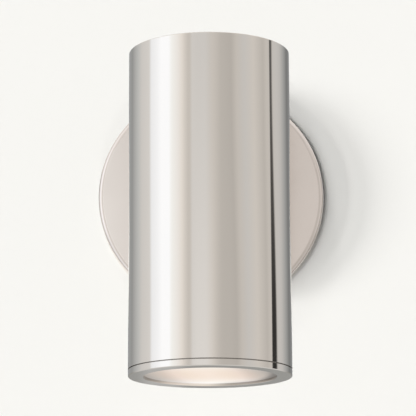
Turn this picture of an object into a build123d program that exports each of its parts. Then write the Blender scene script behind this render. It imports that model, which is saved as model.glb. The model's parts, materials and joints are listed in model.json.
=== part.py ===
from build123d import *
import os
from math import cos, degrees, radians, sin, sqrt, tan

# A tube wall light: a cylinder that throws its light down, held in front of a round backplate.
# The origin is the middle of the backplate, on the wall. +Y goes into the wall, +Z is up, millimetres.
# "Out" is a distance from the wall into the room, so a point that lies d out has y = -d.

# ---- fits and clearances ----
FIT = 0.1  # between two fixed pieces, one inside the other, per side
RUNNING = 0.3  # between two pieces that move past each other
HOLE_EASE = 0.3  # a screw or rod in its clearance hole, per side
CUT_PAST = 1.0  # how far a cutting solid runs past what it cuts

# ---- cylinder ----
TUBE_OD = 88.9
TUBE_WALL = 2.0
OVERALL_HEIGHT = 181.0  # from the ring's underside to the cylinder's top
LIGHT_BELOW_CENTRE = 115.3  # from the backplate's middle down to the ring's underside
TUBE_OUT = 80.0  # from the wall to the cylinder's axis
TUBE_EDGE = 0.4  # chamfer at the top of the cylinder
CAP_THICKNESS = 2.0
CAP_SKIRT = 8.0
CAP_SKIRT_WALL = 1.5

# ---- trim ring and what it holds ----
RING_LIP_HEIGHT = 3.5
RING_LIP_EDGE = 0.4
SEAM_GAP = 0.6
SEAM_DEPTH = 1.2
SPIGOT_HEIGHT = 8.0
SPIGOT_CHAMFER = 0.5
SPIGOT_WALL = 2.65
OPENING_EDGE = 0.2
LENS_RECESS = 1.5
LENS_THICKNESS = 3.0
LENS_SEAT = 3.1  # how far the lens reaches past the opening's edge, all round
LENS_EDGE = 0.3
GASKET_THICKNESS = 1.0
GASKET_WIDTH = 2.7
SNAP_THICKNESS = 1.2
SNAP_WIDTH = 2.4
SNAP_GROOVE_DEPTH = 0.8
SNAP_OPEN_ANGLE = 24.0
SNAP_EAR_R = 2.2
SNAP_EAR_HOLE_R = 0.8

# ---- backplate and crossbar ----
PLATE_OD = 130.8
PLATE_DEPTH = 13.0
PLATE_WALL = 1.6
PLATE_EDGE_R = 3.0
STRAP_WIDTH = 24.0
STRAP_THICKNESS = 1.6
STRAP_BEND_R = 1.6
TAB_FRONT_GAP = 1.4  # from a tab's end to the backplate's inner face
TAB_RIM_GAP = 0.4  # from a tab's corners to the rim
TAB_CORNER_R = 3.0
BOX_SCREW_SPACING = 88.9
BOX_SLOT_WIDTH = 5.0
BOX_SLOT_LENGTH = 14.0
STRAP_WIRE_HOLE_D = 16.0
RIM_SCREW_OUT = 6.0
RIM_SCREW_D = 3.5
RIM_SCREW_LENGTH = 8.0
RIM_HEAD_D = 6.0
RIM_HEAD_HEIGHT = 2.0
GROUND_SCREW_D = 4.8
GROUND_SCREW_BELOW = 24.0
GROUND_BOSS_HEIGHT = 1.2
GROUND_BOSS_WALL = 1.4
GROUND_HEAD_FLATS = 8.0
GROUND_HEAD_HEIGHT = 3.0

# ---- stem and the hollow rod that clamps the light together ----
STEM_OD = 30.0
STEM_EDGE = 0.6
NIPPLE_D = 10.0
NIPPLE_BORE_D = 6.5
NIPPLE_PROUD = 0.7  # how far the rod stands past its nuts
NUT_FLATS = 14.0
NUT_THICKNESS = 2.5
WASHER_D = 16.0
WASHER_THICKNESS = 1.0
SADDLE_D = 26.0
SADDLE_THICKNESS = 4.5
BUSHING_BORE_D = 5.0
BUSHING_FLANGE_D = 9.0
BUSHING_FLANGE_THICKNESS = 0.8
BUSHING_LENGTH = 6.0

# ---- lamp bracket ----
BRACKET_WIDTH = 26.0
BRACKET_THICKNESS = 1.5
BRACKET_BEND_R = 2.0
BRACKET_TOE = 2.0  # how far the shelf runs past the lampholder
BRACKET_CORNER_R = 5.0
BRACKET_SCREW_D = 4.0
BRACKET_SCREW_LENGTH = 6.0
BRACKET_SCREW_FROM_LEG = 9.45
BRACKET_HEAD_D = 8.0
BRACKET_HEAD_HEIGHT = 2.4
BRACKET_NUT_FLATS = 7.0
BRACKET_NUT_THICKNESS = 2.4

# ---- lampholder ----
HOLDER_D = 30.0
HOLDER_HEIGHT = 14.0
HOLDER_FLOOR = 2.2
HOLDER_EDGE_R = 1.0
HEAD_ROOM = 1.2  # above a pin's head in its chamber
SLOT_EASE = 0.4  # a pin's neck or head in its slot, per side
ENTRY_EASE = 0.5  # a pin's head in the round hole where it goes in, per side
CONTACT_THICKNESS = 0.5
CONTACT_WIDTH = 3.0
HOLDER_SCREW_SPACING = 21.0
HOLDER_SCREW_D = 3.0
HOLDER_HEAD_D = 5.5
HOLDER_HEAD_HEIGHT = 2.0
HOLDER_COUNTERBORE_DEPTH = 4.0
HOLDER_NUT_FLATS = 5.5
HOLDER_NUT_THICKNESS = 2.4
HOLDER_WIRE_HOLE_D = 2.6
BRACKET_WIRE_HOLE_D = 4.4

# ---- lamp ----
LAMP_ABOVE_LENS = 10.8
LAMP_D = 50.0
LAMP_RIM_HEIGHT = 10.0
LAMP_BODY_LENGTH = 40.0
LAMP_NECK_D = 32.0
LAMP_EDGE_R = 1.0
LAMP_WINDOW_D = 44.0
LAMP_WINDOW_THICKNESS = 1.6
LAMP_WINDOW_RECESS = 0.6
FIN_COUNT = 20
FIN_GAP = 2.4
FIN_DEPTH = 4.0
FIN_MARGIN = 3.0
LAMP_BASE_D = 28.0
LAMP_BASE_LENGTH = 8.0
LAMP_BASE_FLATS = 20.0
PIN_SPACING = 10.0
PIN_NECK_D = 2.6
PIN_NECK_LENGTH = 2.8
PIN_HEAD_D = 5.0
PIN_HEAD_LENGTH = 4.2
TWIST = 45.0  # from the locked lamp to the one that drops out

# ---- leads ----
LEAD_D = 1.6
LEAD_CIRCLE_R = 1.35  # the three leads' centres round the rod's axis
LEAD_COUNT = 3
LEAD_END_OUT = 0.5
LEAD_TURN_BACK = 18.0  # from the cylinder's axis back to where the two lamp leads start down
LEAD_TURN_BELOW = 14.0
TERMINAL_THICKNESS = 0.8
TERMINAL_RING_WALL = 2.2
TERMINAL_NECK_WIDTH = 2.6
BARREL_WALL = 0.6
BARREL_LENGTH = 6.0
BARREL_LIFT = 0.4  # from the terminal's underside to the rear barrel's axis
BARREL_FROM_RING = 5.0
FRONT_BARREL_REACH = 7.0  # from the bracket screw to the upright barrel
BEND_SHARE = 0.45  # of the shorter run, for each end of a lead's bend

# ---- places worked out from the sizes ----
TUBE_R = TUBE_OD / 2
TUBE_BORE_R = TUBE_R - TUBE_WALL
RING_BOTTOM = -LIGHT_BELOW_CENTRE
SEAM_BOTTOM = RING_BOTTOM + RING_LIP_HEIGHT
TUBE_BOTTOM = SEAM_BOTTOM + SEAM_GAP
TUBE_TOP = RING_BOTTOM + OVERALL_HEIGHT
SPIGOT_R = TUBE_BORE_R - RUNNING
SPIGOT_BORE_R = SPIGOT_R - SPIGOT_WALL
LENS_R = SPIGOT_BORE_R - RUNNING
OPENING_R = LENS_R - LENS_SEAT
SHELF_TOP = RING_BOTTOM + LENS_RECESS
LENS_TOP = SHELF_TOP + LENS_THICKNESS
GASKET_TOP = LENS_TOP + GASKET_THICKNESS
GROOVE_TOP = GASKET_TOP + SNAP_THICKNESS + 2 * FIT
SPIGOT_TOP = TUBE_BOTTOM + SPIGOT_HEIGHT

PLATE_R = PLATE_OD / 2
PLATE_INNER_FACE = PLATE_DEPTH - PLATE_WALL
TAB_END_OUT = PLATE_INNER_FACE - TAB_FRONT_GAP
TAB_REACH = sqrt((PLATE_R - PLATE_WALL) ** 2 - (STRAP_WIDTH / 2) ** 2) - TAB_RIM_GAP
GROUND_SEAT_OUT = STRAP_THICKNESS + GROUND_BOSS_HEIGHT

NIPPLE_HOLE_R = NIPPLE_D / 2 + HOLE_EASE
SADDLE_FRONT = TUBE_OUT - TUBE_BORE_R + SADDLE_THICKNESS
LEG_FRONT = SADDLE_FRONT + BRACKET_THICKNESS
FRONT_NUT_OUT = LEG_FRONT + WASHER_THICKNESS
BRACKET_SCREW_OUT = LEG_FRONT + BRACKET_SCREW_FROM_LEG
NIPPLE_FRONT = FRONT_NUT_OUT + NUT_THICKNESS + NIPPLE_PROUD
REAR_NUT_OUT = PLATE_INNER_FACE - WASHER_THICKNESS - NUT_THICKNESS
NIPPLE_REAR = REAR_NUT_OUT - NIPPLE_PROUD

LAMP_FACE = LENS_TOP + LAMP_ABOVE_LENS
LAMP_NECK = LAMP_FACE + LAMP_BODY_LENGTH
LAMP_SHOULDER = LAMP_NECK + LAMP_BASE_LENGTH
PIN_NECK_TOP = LAMP_SHOULDER + PIN_NECK_LENGTH
PIN_TOP = PIN_NECK_TOP + PIN_HEAD_LENGTH
HOLDER_BOTTOM = LAMP_SHOULDER + RUNNING
CHAMBER_BOTTOM = HOLDER_BOTTOM + HOLDER_FLOOR
CHAMBER_TOP = PIN_TOP + HEAD_ROOM
HOLDER_TOP = HOLDER_BOTTOM + HOLDER_HEIGHT
SHELF_FACE = HOLDER_TOP + BRACKET_THICKNESS
HOLDER_SEAT = HOLDER_BOTTOM + HOLDER_COUNTERBORE_DEPTH
BARREL_R = LEAD_D / 2 + FIT + BARREL_WALL
LEAD_TURN_OUT = TUBE_OUT - LEAD_TURN_BACK
GROUND_TURN_OUT = BRACKET_SCREW_OUT + FRONT_BARREL_REACH


def outward(sketch, start, end):
    """Push a sketch (across, up) away from the wall, from one distance out to another."""
    return extrude(Plane.XZ.offset(start) * sketch, end - start)


def upward(sketch, low, high, out=0.0, across=0.0):
    """Push a level sketch up from one height to another, with its middle at the given place."""
    return extrude(Pos(across, -out, low) * sketch, high - low)


def round_tube(profile):
    """Turn a profile of (radius, height) points round the cylinder's axis."""
    turned = revolve(Plane.XZ * make_face(Polyline(*profile, close=True)), Axis.Z)
    return Pos(0, -TUBE_OUT, 0) * turned


def rings_at(solid, height):
    """The circular edges of a solid whose middles lie at one height."""
    circles = solid.edges().filter_by(GeomType.CIRCLE)
    return circles.filter_by_position(Axis.Z, height - FIT / 2, height + FIT / 2)


def pan_screw(shank_d, length, head_d, head_height):
    """A screw that points down, with the underside of its slotted head at the origin."""
    head = extrude(Circle(head_d / 2), head_height)
    head = fillet(rings_at(head, head_height), head_height / 2)
    slot = Box(head_d + CUT_PAST, head_d / 6, head_height, align=(Align.CENTER, Align.CENTER, Align.MIN))
    head -= Pos(0, 0, head_height / 2) * slot
    shank = extrude(Circle(shank_d / 2), -length)
    return head + chamfer(rings_at(shank, -length), shank_d / 8)


def hex_nut(flats, thickness, bore_d):
    """A level nut whose underside is at the origin."""
    nut = extrude(RegularPolygon(flats / 2, 6, major_radius=False) - Circle(bore_d / 2), thickness)
    corner_cut = extrude(Circle(flats / sqrt(3)), thickness)
    return nut & chamfer(corner_cut.edges().filter_by(GeomType.CIRCLE), thickness / 8)


def washer(outer_d, bore_d, thickness):
    """A level washer whose underside is at the origin."""
    return extrude(Circle(outer_d / 2) - Circle(bore_d / 2), thickness)


def facing_room(solid, out, up=0.0, across=0.0):
    """Lay a solid that was made standing up with its top towards the room."""
    return Pos(across, -out, up) * Rot(90, 0, 0) * solid


def write(name, *solids):
    """Write one node, of one or more solids, to its own STEP file."""
    shape = solids[0] if len(solids) == 1 else Compound(children=list(solids))
    shape.label = name
    export_step(shape, os.path.join("parts", name + ".step"))


def wall_plate():
    plate = outward(Circle(PLATE_R), 0, PLATE_DEPTH)
    plate = fillet(plate.edges().filter_by(GeomType.CIRCLE).sort_by(Axis.Y)[0], PLATE_EDGE_R)
    hollow = outward(Circle(PLATE_R - PLATE_WALL), 0, PLATE_INNER_FACE)
    inner_edge_r = max(PLATE_EDGE_R - PLATE_WALL, FIT)
    hollow = fillet(hollow.edges().filter_by(GeomType.CIRCLE).sort_by(Axis.Y)[0], inner_edge_r)
    plate -= hollow
    plate -= outward(Circle(NIPPLE_HOLE_R), 0, PLATE_DEPTH)
    reach = PLATE_R + CUT_PAST
    return plate - upward(Circle(RIM_SCREW_D / 2 + HOLE_EASE), -reach, reach, RIM_SCREW_OUT)


def crossbar():
    bar = outward(Rectangle(STRAP_WIDTH, 2 * TAB_REACH), 0, TAB_END_OUT)
    wall_edges = bar.edges().filter_by(Axis.X).group_by(Axis.Y)[-1]
    bar = fillet(wall_edges, STRAP_BEND_R + STRAP_THICKNESS)
    inner = outward(
        Rectangle(STRAP_WIDTH + 2 * CUT_PAST, 2 * (TAB_REACH - STRAP_THICKNESS)),
        STRAP_THICKNESS,
        TAB_END_OUT + CUT_PAST,
    )
    inner = fillet(inner.edges().filter_by(Axis.X).group_by(Axis.Y)[-1], STRAP_BEND_R)
    bar -= inner
    tab_corners = bar.edges().filter_by(Axis.Z).group_by(Axis.Y)[0]
    bar = fillet(tab_corners, TAB_CORNER_R)
    bar += outward(
        Pos(0, -GROUND_SCREW_BELOW) * Circle(GROUND_SCREW_D / 2 + GROUND_BOSS_WALL),
        STRAP_THICKNESS / 2,
        GROUND_SEAT_OUT,
    )
    for side in (-1, 1):
        slot = Pos(0, side * BOX_SCREW_SPACING / 2) * SlotOverall(BOX_SLOT_LENGTH, BOX_SLOT_WIDTH, 90)
        bar -= outward(slot, 0, STRAP_THICKNESS)
    bar -= outward(Circle(STRAP_WIRE_HOLE_D / 2), 0, STRAP_THICKNESS)
    bar -= outward(Pos(0, -GROUND_SCREW_BELOW) * Circle(GROUND_SCREW_D / 2 + FIT), 0, GROUND_SEAT_OUT)
    return bar - upward(Circle(RIM_SCREW_D / 2 + FIT), -TAB_REACH, TAB_REACH, RIM_SCREW_OUT)


def rim_screws():
    screw = pan_screw(RIM_SCREW_D, RIM_SCREW_LENGTH, RIM_HEAD_D, RIM_HEAD_HEIGHT)
    place = Pos(0, -RIM_SCREW_OUT, PLATE_R)
    return place * screw, Rot(0, 180, 0) * place * screw


def ground_screw():
    length = GROUND_SEAT_OUT + TERMINAL_THICKNESS
    head = extrude(RegularPolygon(GROUND_HEAD_FLATS / 2, 6, major_radius=False), GROUND_HEAD_HEIGHT)
    shank = extrude(Circle(GROUND_SCREW_D / 2), -length)
    return facing_room(head + shank, length, -GROUND_SCREW_BELOW)


def stem():
    body = outward(Circle(STEM_OD / 2), PLATE_DEPTH, TUBE_OUT)
    body = chamfer(body.edges().filter_by(GeomType.CIRCLE).sort_by(Axis.Y)[-1], STEM_EDGE)
    body -= upward(Circle(TUBE_R + FIT), -STEM_OD, STEM_OD, TUBE_OUT)
    return body - outward(Circle(NIPPLE_HOLE_R), PLATE_DEPTH, TUBE_OUT)


def nipple():
    rod = outward(Circle(NIPPLE_D / 2), NIPPLE_REAR, NIPPLE_FRONT)
    rod = chamfer(rod.edges().filter_by(GeomType.CIRCLE), NIPPLE_PROUD / 2)
    return rod - outward(Circle(NIPPLE_BORE_D / 2), NIPPLE_REAR, NIPPLE_FRONT)


def nipple_bushings():
    pieces = []
    for end, step in ((NIPPLE_REAR, -1), (NIPPLE_FRONT, 1)):
        flange_end = end + step * BUSHING_FLANGE_THICKNESS
        inner_end = end - step * BUSHING_LENGTH
        flange = outward(Circle(BUSHING_FLANGE_D / 2), end, flange_end)
        sleeve = outward(Circle(NIPPLE_BORE_D / 2 - FIT), inner_end, end)
        bore = outward(Circle(BUSHING_BORE_D / 2), inner_end, flange_end)
        pieces.append(flange + sleeve - bore)
    return pieces


def nipple_washers():
    piece = washer(WASHER_D, NIPPLE_D + 2 * FIT, WASHER_THICKNESS)
    return facing_room(piece, PLATE_INNER_FACE - WASHER_THICKNESS), facing_room(piece, LEG_FRONT)


def nipple_nuts():
    piece = hex_nut(NUT_FLATS, NUT_THICKNESS, NIPPLE_D + 2 * FIT)
    return facing_room(piece, REAR_NUT_OUT), facing_room(piece, FRONT_NUT_OUT)


def inner_saddle():
    body = outward(Circle(SADDLE_D / 2), TUBE_OUT - TUBE_R, SADDLE_FRONT)
    body &= upward(Circle(TUBE_BORE_R - FIT), -SADDLE_D, SADDLE_D, TUBE_OUT)
    return body - outward(Circle(NIPPLE_HOLE_R), 0, SADDLE_FRONT)


def tube():
    body = upward(Circle(TUBE_R), TUBE_BOTTOM, TUBE_TOP, TUBE_OUT)
    body = chamfer(rings_at(body, TUBE_TOP), TUBE_EDGE)
    body -= upward(Circle(TUBE_BORE_R), TUBE_BOTTOM, TUBE_TOP, TUBE_OUT)
    return body - outward(Circle(NIPPLE_HOLE_R), 0, TUBE_OUT)


def top_cap():
    cap = upward(Circle(TUBE_BORE_R - FIT), TUBE_TOP - CAP_THICKNESS - CAP_SKIRT, TUBE_TOP, TUBE_OUT)
    hollow_r = TUBE_BORE_R - FIT - CAP_SKIRT_WALL
    return cap - upward(Circle(hollow_r), cap.bounding_box().min.Z, TUBE_TOP - CAP_THICKNESS, TUBE_OUT)


def lamp_bracket():
    toe_out = TUBE_OUT + HOLDER_D / 2 + BRACKET_TOE
    top = BRACKET_WIDTH / 2
    middle = (SHELF_FACE - BRACKET_THICKNESS + top) / 2
    height = top - SHELF_FACE + BRACKET_THICKNESS
    angle = outward(Pos(0, middle) * Rectangle(BRACKET_WIDTH, height), SADDLE_FRONT, toe_out)
    corner = angle.edges().filter_by(Axis.X).group_by(Axis.Z)[0].sort_by(Axis.Y)[-1]
    angle = fillet(corner, BRACKET_BEND_R + BRACKET_THICKNESS)
    inner = outward(
        Pos(0, SHELF_FACE + height / 2) * Rectangle(BRACKET_WIDTH + 2 * CUT_PAST, height),
        LEG_FRONT,
        toe_out + CUT_PAST,
    )
    corner = inner.edges().filter_by(Axis.X).group_by(Axis.Z)[0].sort_by(Axis.Y)[-1]
    angle -= fillet(corner, BRACKET_BEND_R)
    angle = fillet(angle.edges().filter_by(Axis.Z).group_by(Axis.Y)[0], BRACKET_CORNER_R)
    leg_corners = angle.edges().filter_by(Axis.Y).group_by(Axis.Z)[-1]
    angle = fillet(leg_corners, BRACKET_WIDTH / 2 - FIT)
    angle -= outward(Circle(NIPPLE_HOLE_R), SADDLE_FRONT, LEG_FRONT)
    for side in (-1, 1):
        screw_hole = Circle(HOLDER_SCREW_D / 2 + HOLE_EASE)
        angle -= upward(screw_hole, HOLDER_TOP, SHELF_FACE, TUBE_OUT + side * HOLDER_SCREW_SPACING / 2)
        wire_hole = Circle(BRACKET_WIRE_HOLE_D / 2)
        angle -= upward(wire_hole, HOLDER_TOP, SHELF_FACE, TUBE_OUT, side * PIN_SPACING / 2)
    return angle - upward(Circle(BRACKET_SCREW_D / 2 + HOLE_EASE), HOLDER_TOP, SHELF_FACE, BRACKET_SCREW_OUT)


def bracket_screw():
    screw = pan_screw(BRACKET_SCREW_D, BRACKET_SCREW_LENGTH, BRACKET_HEAD_D, BRACKET_HEAD_HEIGHT)
    return Pos(0, -BRACKET_SCREW_OUT, SHELF_FACE + TERMINAL_THICKNESS) * screw


def bracket_nut():
    nut = hex_nut(BRACKET_NUT_FLATS, BRACKET_NUT_THICKNESS, BRACKET_SCREW_D + 2 * FIT)
    return Pos(0, -BRACKET_SCREW_OUT, HOLDER_TOP - BRACKET_NUT_THICKNESS) * nut


def pin_track(width, side):
    """The path that a pin's middle takes in the twist, widened to a slot, on one side of the lamp."""
    start = 0 if side > 0 else 180
    return SlotArc(CenterArc((0, 0), PIN_SPACING / 2, start - TWIST, TWIST), width)


def lampholder_body():
    body = upward(Circle(HOLDER_D / 2), HOLDER_BOTTOM, HOLDER_TOP, TUBE_OUT)
    body = fillet(rings_at(body, HOLDER_BOTTOM), HOLDER_EDGE_R)
    for side in (-1, 1):
        entry = Rot(0, 0, -TWIST) * Pos(side * PIN_SPACING / 2, 0) * Circle(PIN_HEAD_D / 2 + ENTRY_EASE)
        keyhole = pin_track(PIN_NECK_D + 2 * SLOT_EASE, side) + entry
        way_in = upward(keyhole, HOLDER_BOTTOM - CUT_PAST, CHAMBER_BOTTOM + HEAD_ROOM, TUBE_OUT)
        chamber = upward(pin_track(PIN_HEAD_D + 2 * SLOT_EASE, side), CHAMBER_BOTTOM, CHAMBER_TOP, TUBE_OUT)
        wire_hole = Circle(HOLDER_WIRE_HOLE_D / 2)
        wire_way = upward(wire_hole, CHAMBER_BOTTOM, HOLDER_TOP + CUT_PAST, TUBE_OUT, side * PIN_SPACING / 2)
        body -= way_in + chamber + wire_way
        screw_out = TUBE_OUT + side * HOLDER_SCREW_SPACING / 2
        body -= upward(Circle(HOLDER_HEAD_D / 2 + HOLE_EASE), HOLDER_BOTTOM, HOLDER_SEAT, screw_out)
        body -= upward(Circle(HOLDER_SCREW_D / 2 + HOLE_EASE), HOLDER_SEAT, HOLDER_TOP, screw_out)
    return body


def lampholder_contacts():
    low = CHAMBER_TOP - CONTACT_THICKNESS
    return [upward(pin_track(CONTACT_WIDTH, side), low, CHAMBER_TOP, TUBE_OUT) for side in (-1, 1)]


def lampholder_screws():
    grip = HOLDER_TOP - HOLDER_SEAT + BRACKET_THICKNESS + HOLDER_NUT_THICKNESS + HOLDER_SCREW_D / 4
    screw = Rot(180, 0, 0) * pan_screw(HOLDER_SCREW_D, grip, HOLDER_HEAD_D, HOLDER_HEAD_HEIGHT)
    outs = [TUBE_OUT + side * HOLDER_SCREW_SPACING / 2 for side in (-1, 1)]
    return [Pos(0, -out, HOLDER_SEAT) * screw for out in outs]


def lampholder_nuts():
    nut = hex_nut(HOLDER_NUT_FLATS, HOLDER_NUT_THICKNESS, HOLDER_SCREW_D + 2 * FIT)
    outs = [TUBE_OUT + side * HOLDER_SCREW_SPACING / 2 for side in (-1, 1)]
    return [Pos(0, -out, SHELF_FACE) * nut for out in outs]


def lamp_body():
    rim_top = LAMP_FACE + LAMP_RIM_HEIGHT
    body = round_tube(
        [
            (0, LAMP_FACE),
            (LAMP_D / 2, LAMP_FACE),
            (LAMP_D / 2, rim_top),
            (LAMP_NECK_D / 2, LAMP_NECK),
            (0, LAMP_NECK),
        ]
    )
    body = fillet(rings_at(body, LAMP_FACE), LAMP_EDGE_R)
    window_top = LAMP_FACE + LAMP_WINDOW_RECESS + LAMP_WINDOW_THICKNESS
    body -= upward(Circle(LAMP_WINDOW_D / 2), LAMP_FACE, window_top, TUBE_OUT)
    fin_low = rim_top + FIN_MARGIN
    fin_high = LAMP_NECK - FIN_MARGIN
    slope = (LAMP_D - LAMP_NECK_D) / 2 / (LAMP_NECK - rim_top)
    root_low = LAMP_D / 2 - FIN_DEPTH - slope * FIN_MARGIN
    root_high = LAMP_NECK_D / 2 - FIN_DEPTH + slope * FIN_MARGIN
    groove = round_tube([(root_low, fin_low), (LAMP_D, fin_low), (LAMP_D, fin_high), (root_high, fin_high)])
    for index in range(FIN_COUNT):
        turn = Rot(0, 0, index * 360 / FIN_COUNT)
        slit = turn * Pos(LAMP_D / 2, 0) * Rectangle(LAMP_D, FIN_GAP)
        body -= groove & upward(slit, fin_low, fin_high, TUBE_OUT)
    return body


def lamp_window():
    low = LAMP_FACE + LAMP_WINDOW_RECESS
    return upward(Circle(LAMP_WINDOW_D / 2 - FIT), low, low + LAMP_WINDOW_THICKNESS, TUBE_OUT)


def lamp_base():
    outline = Circle(LAMP_BASE_D / 2) & Rectangle(LAMP_BASE_D, LAMP_BASE_FLATS)
    return upward(outline, LAMP_NECK, LAMP_SHOULDER, TUBE_OUT)


def lamp_pins():
    pins = []
    for side in (-1, 1):
        across = side * PIN_SPACING / 2
        head = upward(Circle(PIN_HEAD_D / 2), PIN_NECK_TOP, PIN_TOP, TUBE_OUT, across)
        head = chamfer(rings_at(head, PIN_TOP), PIN_HEAD_D / 10)
        pins.append(head + upward(Circle(PIN_NECK_D / 2), LAMP_SHOULDER, PIN_NECK_TOP, TUBE_OUT, across))
    return pins


def lens():
    disc = upward(Circle(LENS_R), SHELF_TOP, LENS_TOP, TUBE_OUT)
    return chamfer(disc.edges().filter_by(GeomType.CIRCLE), LENS_EDGE)


def lens_gasket():
    ring = Circle(LENS_R) - Circle(LENS_R - GASKET_WIDTH)
    return upward(ring, LENS_TOP, GASKET_TOP, TUBE_OUT)


def snap_ring():
    outer_r = SPIGOT_BORE_R + SNAP_GROOVE_DEPTH - FIT
    inner_r = outer_r - SNAP_WIDTH
    outline = Circle(outer_r) - Circle(inner_r)
    reach = outer_r + CUT_PAST
    half_mouth = reach * tan(radians(SNAP_OPEN_ANGLE / 2))
    outline -= make_face(Polyline((0, 0), (reach, -half_mouth), (reach, half_mouth), close=True))
    ear_angle = SNAP_OPEN_ANGLE / 2 + degrees(SNAP_EAR_R / inner_r)
    for side in (-1, 1):
        place = Rot(0, 0, side * ear_angle) * Pos(inner_r, 0)
        outline += place * Circle(SNAP_EAR_R) & Circle(outer_r)
    for side in (-1, 1):
        outline -= Rot(0, 0, side * ear_angle) * Pos(inner_r, 0) * Circle(SNAP_EAR_HOLE_R)
    return upward(outline, GASKET_TOP + FIT, GASKET_TOP + FIT + SNAP_THICKNESS, TUBE_OUT)


def trim_ring():
    neck_r = TUBE_R - SEAM_DEPTH
    groove_r = SPIGOT_BORE_R + SNAP_GROOVE_DEPTH
    ring = round_tube(
        [
            (OPENING_R + OPENING_EDGE, RING_BOTTOM),
            (TUBE_R - RING_LIP_EDGE, RING_BOTTOM),
            (TUBE_R, RING_BOTTOM + RING_LIP_EDGE),
            (TUBE_R, SEAM_BOTTOM),
            (neck_r, SEAM_BOTTOM),
            (neck_r, TUBE_BOTTOM),
            (SPIGOT_R, TUBE_BOTTOM),
            (SPIGOT_R, SPIGOT_TOP - SPIGOT_CHAMFER),
            (SPIGOT_R - SPIGOT_CHAMFER, SPIGOT_TOP),
            (SPIGOT_BORE_R, SPIGOT_TOP),
            (SPIGOT_BORE_R, GROOVE_TOP),
            (groove_r, GROOVE_TOP),
            (groove_r, GASKET_TOP),
            (SPIGOT_BORE_R, GASKET_TOP),
            (SPIGOT_BORE_R, SHELF_TOP),
            (OPENING_R, SHELF_TOP),
            (OPENING_R, RING_BOTTOM + OPENING_EDGE),
        ]
    )
    return ring


def along(points, radii):
    """A lead's round solid along straight runs joined by arcs."""
    path = FilletPolyline(*points, radius=radii)
    return sweep(Plane(origin=path @ 0, z_dir=path % 0) * Circle(LEAD_D / 2), path=path)


def bend_radius(before, corner, after):
    """The largest arc at a corner that leaves room on both runs."""
    first = Vector(*corner) - Vector(*before)
    second = Vector(*after) - Vector(*corner)
    turn = first.get_angle(second)
    return BEND_SHARE * min(first.length, second.length) / tan(radians(turn / 2))


def lamp_lead(side):
    from_below = radians(360 / LEAD_COUNT)
    across = side * LEAD_CIRCLE_R * sin(from_below)
    up = -LEAD_CIRCLE_R * cos(from_below)
    points = [
        (across, -LEAD_END_OUT, up),
        (across, -LEAD_TURN_OUT, up),
        (side * PIN_SPACING / 2, -TUBE_OUT, -LEAD_TURN_BELOW),
        (side * PIN_SPACING / 2, -TUBE_OUT, CHAMBER_TOP),
    ]
    radii = [bend_radius(*points[:3]), bend_radius(*points[1:])]
    return along(points, radii)


def ground_lead():
    rear_out = GROUND_SEAT_OUT + BARREL_LIFT
    rear_end = -GROUND_SCREW_BELOW + BARREL_FROM_RING + BARREL_LENGTH / 2
    front_end = SHELF_FACE + TERMINAL_THICKNESS + BARREL_LENGTH / 2
    points = [
        (0, -rear_out, rear_end),
        (0, -rear_out, -LEAD_CIRCLE_R),
        (0, -GROUND_TURN_OUT, -LEAD_CIRCLE_R),
        (0, -GROUND_TURN_OUT, front_end),
    ]
    rear_r = NIPPLE_REAR - BUSHING_FLANGE_THICKNESS - rear_out
    front_r = GROUND_TURN_OUT - NIPPLE_FRONT - 2 * BUSHING_FLANGE_THICKNESS
    return along(points, [rear_r, front_r])


def ring_tongue(screw_d, reach):
    """A terminal's flat ring at the origin, with its neck along +Y."""
    outer_r = screw_d / 2 + HOLE_EASE + TERMINAL_RING_WALL
    outline = Circle(outer_r) + Pos(0, reach / 2) * Rectangle(TERMINAL_NECK_WIDTH, reach)
    return extrude(outline - Circle(screw_d / 2 + HOLE_EASE), TERMINAL_THICKNESS)


def barrel():
    """A crimp barrel that stands on the origin."""
    return extrude(Circle(BARREL_R) - Circle(LEAD_D / 2 + FIT), BARREL_LENGTH)


def ground_terminals():
    rear = facing_room(
        ring_tongue(GROUND_SCREW_D, BARREL_FROM_RING + FIT), GROUND_SEAT_OUT, -GROUND_SCREW_BELOW
    )
    barrel_place = Pos(0, -GROUND_SEAT_OUT - BARREL_LIFT, -GROUND_SCREW_BELOW + BARREL_FROM_RING)
    rear += barrel_place * barrel()
    front = Rot(0, 0, 180) * ring_tongue(BRACKET_SCREW_D, FRONT_BARREL_REACH)
    front = Pos(0, -BRACKET_SCREW_OUT, SHELF_FACE) * front
    front += upward(Circle(BARREL_R), SHELF_FACE, SHELF_FACE + TERMINAL_THICKNESS, GROUND_TURN_OUT)
    front += Pos(0, -GROUND_TURN_OUT, SHELF_FACE + TERMINAL_THICKNESS) * barrel()
    return rear, front


os.makedirs("parts", exist_ok=True)

write("wall_plate", wall_plate())
write("crossbar", crossbar())
write("rim_screws", *rim_screws())
write("ground_screw", ground_screw())
write("ground_terminals", *ground_terminals())
write("stem", stem())
write("nipple", nipple())
write("nipple_bushings", *nipple_bushings())
write("nipple_washers", *nipple_washers())
write("nipple_nuts", *nipple_nuts())
write("inner_saddle", inner_saddle())
write("tube", tube())
write("top_cap", top_cap())
write("lamp_bracket", lamp_bracket())
write("bracket_screw", bracket_screw())
write("bracket_nut", bracket_nut())
write("lampholder_body", lampholder_body())
write("lampholder_contacts", *lampholder_contacts())
write("lampholder_screws", *lampholder_screws())
write("lampholder_nuts", *lampholder_nuts())
write("live_lead", lamp_lead(-1))
write("neutral_lead", lamp_lead(1))
write("ground_lead", ground_lead())
write("lamp_body", lamp_body())
write("lamp_window", lamp_window())
write("lamp_base", lamp_base())
write("lamp_pins", *lamp_pins())
write("lens", lens())
write("lens_gasket", lens_gasket())
write("snap_ring", snap_ring())
write("trim_ring", trim_ring())
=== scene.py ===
import json
import math

import bmesh
import bpy
from mathutils import Matrix, Vector


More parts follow.
